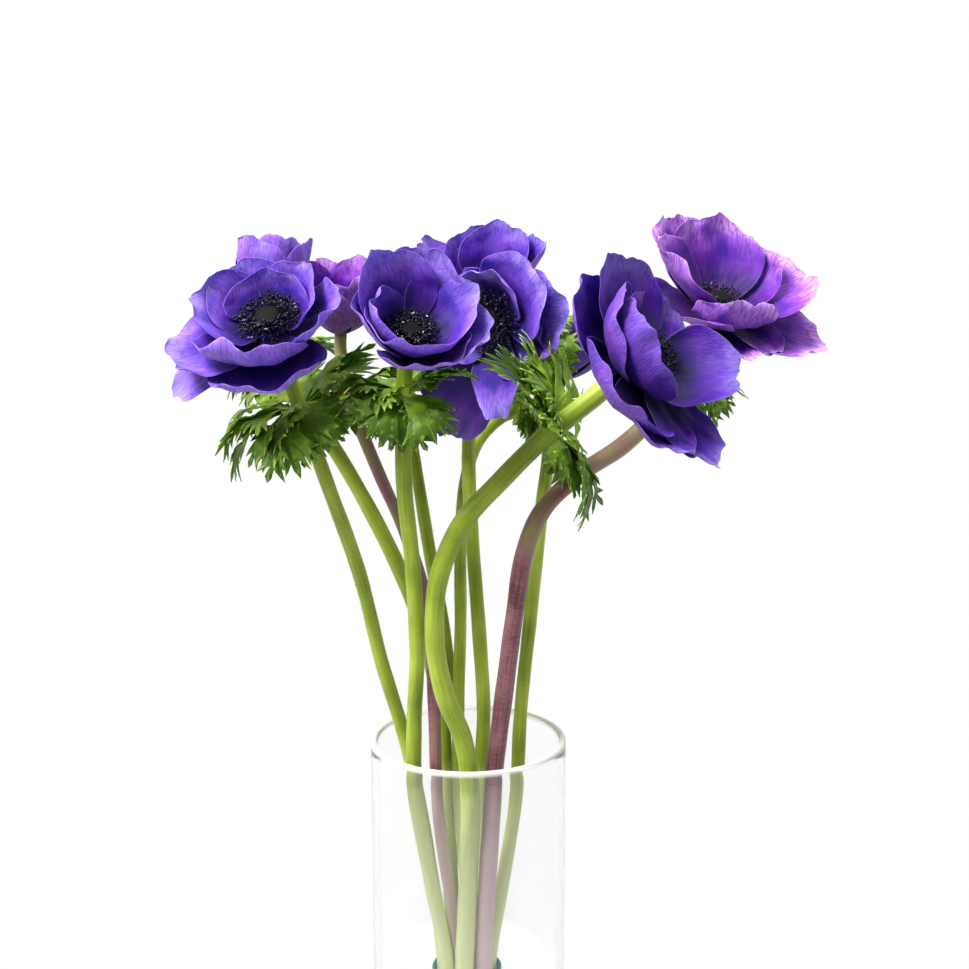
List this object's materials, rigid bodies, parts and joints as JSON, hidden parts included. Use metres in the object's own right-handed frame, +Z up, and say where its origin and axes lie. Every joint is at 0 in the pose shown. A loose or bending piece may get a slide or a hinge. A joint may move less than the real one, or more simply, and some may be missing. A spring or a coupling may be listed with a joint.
{
  "type": "anemones in a glass vase",
  "caption": "Cut violet and mauve anemones with ruffled green leaf whorls, standing banded together in a clear glass cylinder vase.",
  "frame": {"origin": "centre of the vase's underside, on the surface it stands on", "axes": "+Z up the vase, -Y towards the viewer of the picture, +X to the picture's right"},
  "size_m": [0.2797, 0.1935, 0.439],
  "materials": {
    "clear_glass": "clear, polished",
    "band_rubber": "matt teal rubber",
    "green_stem": "satin plant skin with fine down, darker cut leaves",
    "purple_stem": "satin plant skin, purple-brown, with green cut leaves",
    "violet_petal": "velvety blue-violet petal with fine veins",
    "mauve_petal": "velvety mauve petal with reddish veins",
    "dark_eye": "matt blue-black dome and stamens"
  },
  "bodies": {
    "root": {"vase": "clear_glass", "band": "band_rubber", "stem_1": "green_stem", "stem_2": "green_stem", "stem_3": "purple_stem", "stem_4": "green_stem", "stem_5": "green_stem", "stem_6": "green_stem", "stem_7": "green_stem", "stem_8": "purple_stem", "stem_9": "green_stem", "stem_10": "green_stem", "bloom_1": "violet_petal", "bloom_2": "violet_petal", "bloom_3": "mauve_petal", "bloom_4": "violet_petal", "bloom_5": "violet_petal", "bloom_6": "violet_petal", "bloom_7": "violet_petal", "bloom_8": "mauve_petal", "bloom_9": "violet_petal", "bloom_10": "violet_petal", "eye_1": "dark_eye", "eye_2": "dark_eye", "eye_3": "dark_eye", "eye_4": "dark_eye", "eye_5": "dark_eye", "eye_6": "dark_eye", "eye_7": "dark_eye", "eye_8": "dark_eye", "eye_9": "dark_eye", "eye_10": "dark_eye"}
  },
  "joints": []
}
